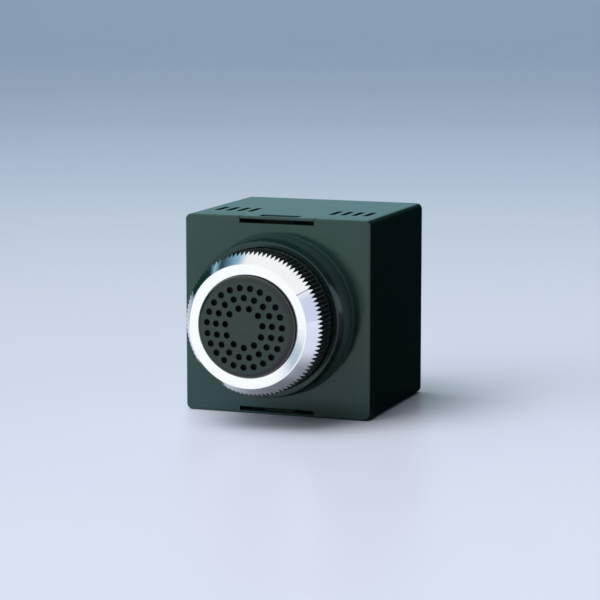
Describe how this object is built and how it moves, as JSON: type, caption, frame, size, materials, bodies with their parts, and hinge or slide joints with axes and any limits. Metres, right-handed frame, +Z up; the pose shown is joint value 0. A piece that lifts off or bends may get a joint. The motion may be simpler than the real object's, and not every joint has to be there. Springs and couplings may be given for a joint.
{
  "type": "pedestrian push button",
  "caption": "Cube housing with a big perforated push disc inside a knurled rotary dial, loudspeaker behind, clipped front cover and wall fixing holes at the back.",
  "frame": {"origin": "on the standing surface, under the middle of the whole object's box", "axes": "+Z up, -Y out of the front through the dial's axis, +X to the right seen from the front"},
  "size_m": [0.098, 0.131, 0.1],
  "materials": {
    "housing_plastic": "moulded, semi-gloss, very dark green",
    "cover_plastic": "moulded, semi-gloss, very dark green",
    "black_anodised": "turned, straight knurl, black anodised",
    "bright_aluminium": "turned and polished",
    "disc_plastic": "moulded, satin",
    "dark_mesh": "woven dust mesh",
    "inner_plastic": "moulded, plain",
    "acetal": "natural acetal",
    "rubber": "matt",
    "zinc_steel": "zinc plated",
    "spring_steel": "drawn wire",
    "magnet_ferrite": "ground ferrite",
    "cone_paper": "pressed paper",
    "copper": "enamelled wire",
    "pot_blue": "moulded case",
    "board_laminate": "green solder resist",
    "block_green": "moulded terminal block",
    "chip_black": "moulded package",
    "relay_blue": "moulded relay case",
    "cap_sleeve": "shrunk sleeve",
    "sink_aluminium": "extruded"
  },
  "bodies": {
    "enclosure": {"housing": "housing_plastic", "front_cover": "cover_plastic", "cover_gasket": "rubber", "friction_washer": "acetal", "return_spring": "spring_steel", "guide_tube": "inner_plastic", "disc_retainer": "inner_plastic", "switch_body": "chip_black", "chassis_plate": "zinc_steel", "chassis_screws": "zinc_steel", "tube_screws": "zinc_steel", "speaker_gasket": "inner_plastic", "speaker_frame": "zinc_steel", "speaker_surround": "rubber", "speaker_damper": "cone_paper", "speaker_top_plate": "zinc_steel", "speaker_yoke": "zinc_steel", "speaker_magnet": "magnet_ferrite", "speaker_screws": "zinc_steel", "pot_body": "pot_blue", "pot_nut": "zinc_steel", "main_board": "board_laminate", "board_screws": "zinc_steel", "terminal_block": "block_green", "terminal_screws": "zinc_steel", "heat_sink": "sink_aluminium", "amplifier_chip": "chip_black", "capacitors": "cap_sleeve", "relay": "relay_blue", "control_chip": "chip_black", "cable_grommet": "rubber"},
    "dial": {"knurled_ring": "black_anodised", "trim_ring": "bright_aluminium", "dial_gear": "acetal", "gear_screws": "zinc_steel"},
    "button": {"push_disc": "disc_plastic", "dust_mesh": "dark_mesh", "mesh_clamp": "inner_plastic"},
    "switch_plunger": {"switch_plunger": "acetal"},
    "pot_spindle": {"pot_shaft": "zinc_steel", "pot_pinion": "acetal", "pinion_screw": "zinc_steel"},
    "cone": {"speaker_cone": "cone_paper", "voice_coil": "copper"}
  },
  "joints": [
    {"name": "press", "type": "slide", "parent": "enclosure", "child": "button", "axis": [0, 1, 0], "range_m": [0, 0.0025], "stiffness_N_per_m": 800, "springref_m": -0.004, "deforming": ["return_spring"]},
    {"name": "plunger_slide", "type": "slide", "parent": "enclosure", "child": "switch_plunger", "axis": [0, 1, 0], "range_m": [0, 0.0025]},
    {"name": "dial_turn", "type": "hinge", "parent": "enclosure", "child": "dial", "pos_m": [0, -0.0205, 0.051], "axis": [0, 1, 0], "range_deg": [-192, 78]},
    {"name": "spindle_turn", "type": "hinge", "parent": "enclosure", "child": "pot_spindle", "pos_m": [0.03039, -0.0205, 0.01918], "axis": [0, 1, 0], "range_deg": [-351, 864]},
    {"name": "cone_travel", "type": "slide", "parent": "enclosure", "child": "cone", "axis": [0, 1, 0], "range_m": [-0.001, 0.001], "stiffness_N_per_m": 800}
  ],
  "couplings": [
    {"joint": "plunger_slide", "follows": "press", "ratio": 1},
    {"joint": "spindle_turn", "follows": "dial_turn", "ratio": -4.5}
  ]
}
